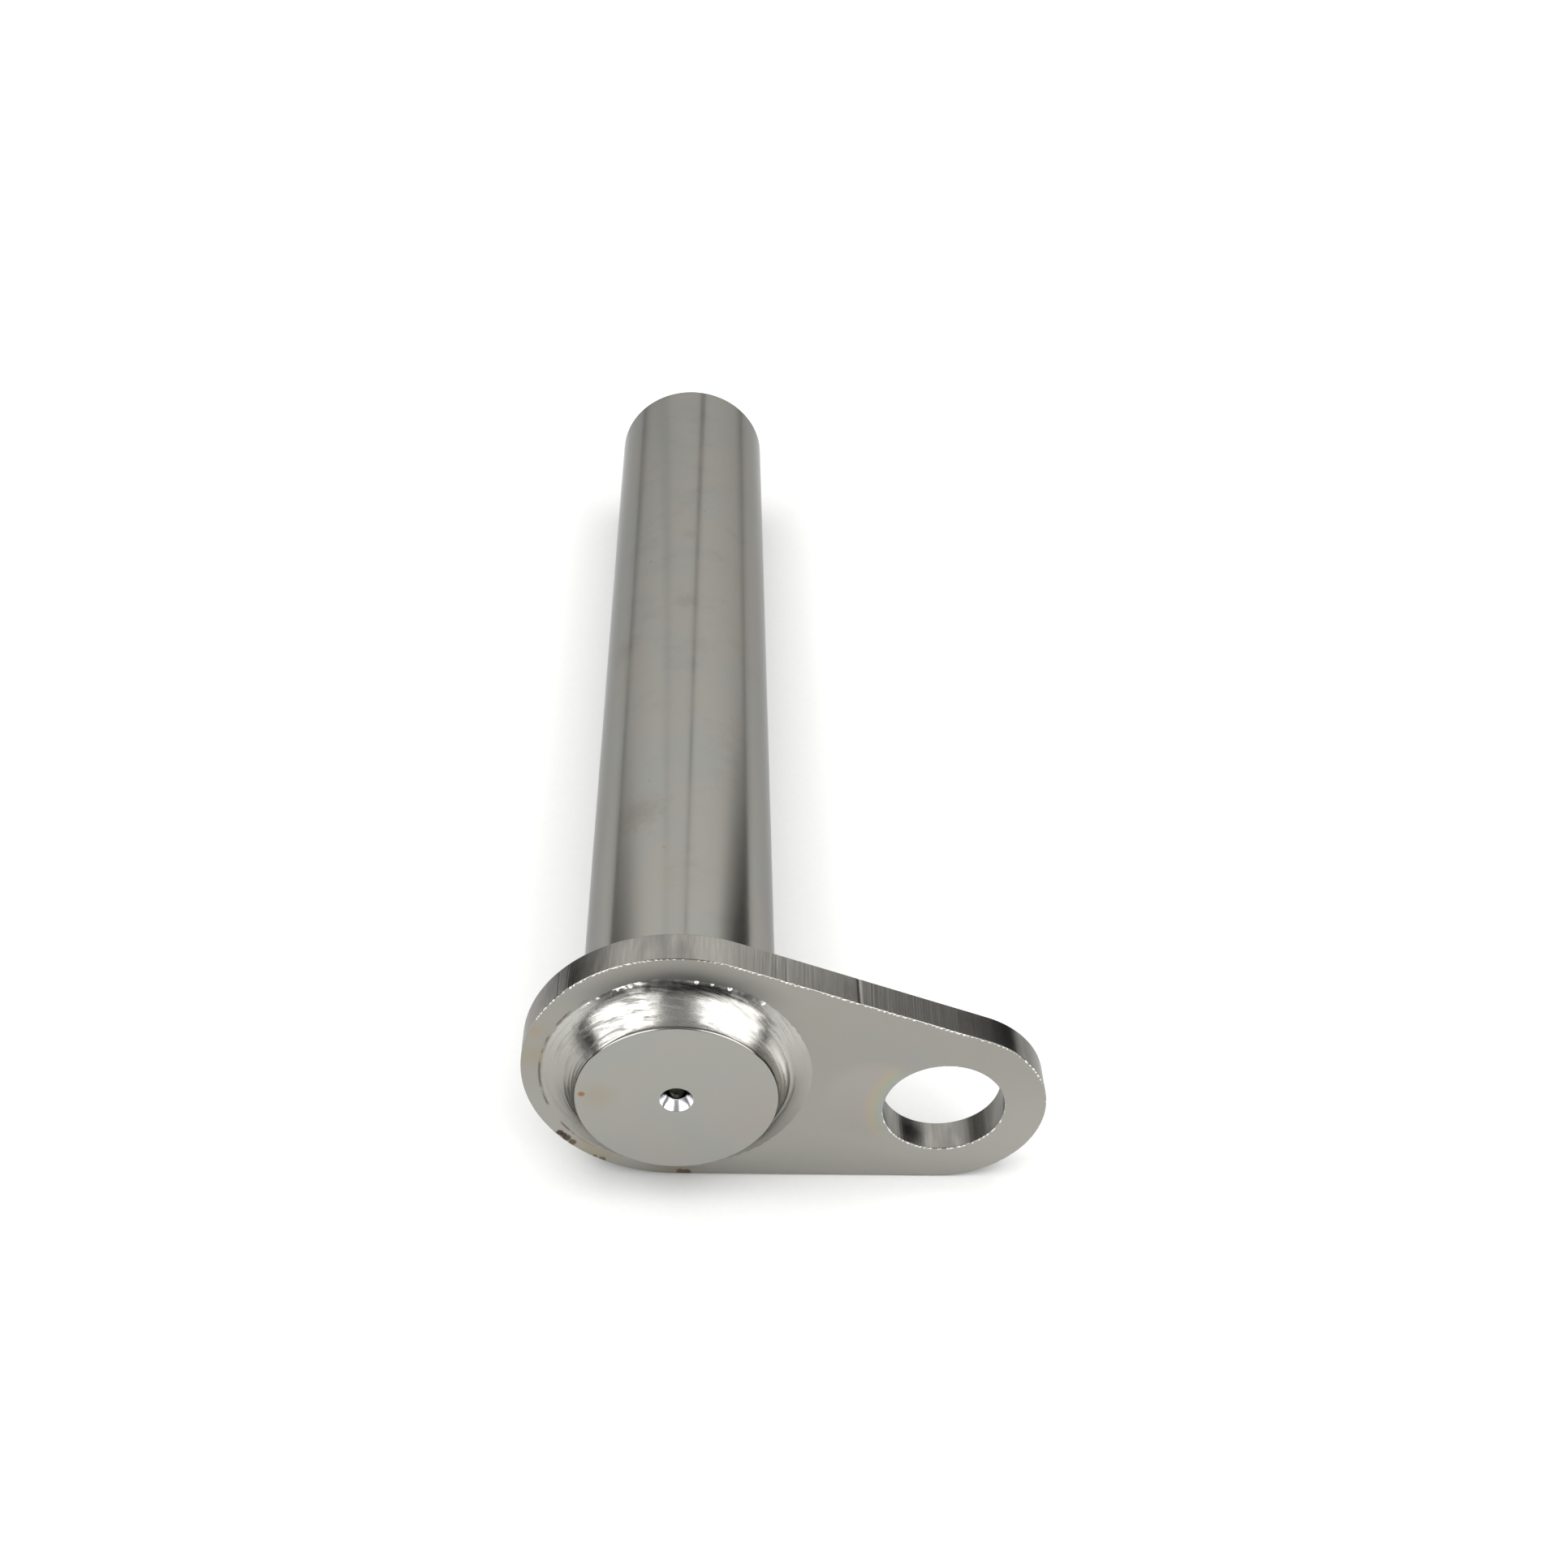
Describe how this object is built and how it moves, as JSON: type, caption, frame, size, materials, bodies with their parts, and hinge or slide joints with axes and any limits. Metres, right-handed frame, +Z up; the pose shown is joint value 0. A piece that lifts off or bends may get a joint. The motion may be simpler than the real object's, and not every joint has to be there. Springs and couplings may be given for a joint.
{
  "type": "hitch pin with locking flag",
  "caption": "Straight round hitch pin with a teardrop locking flag welded on near one end, with a clearance hole in the flag for the bolt that keeps it in place.",
  "frame": {"origin": "centre of the bar's flat tip face, on the bar's axis", "axes": "+Y along the bar from the flag to the tip, +Z up with the flag's straight lower edge level, +X from the bar towards the flag's bolt hole"},
  "size_m": [0.0794, 0.1909, 0.0465],
  "materials": {
    "plated_bar": "smooth drawn bar, bright zinc plated, semi-matt",
    "plated_plate": "rolled plate with laser-cut edges, bright zinc plated, satin with a faint iridescent tint",
    "plated_weld": "weld bead, bright zinc plated, glossy with fine ripples"
  },
  "bodies": {
    "root": {"pin": "plated_bar", "locking_flag": "plated_plate", "fillet_weld": "plated_weld"}
  },
  "joints": []
}
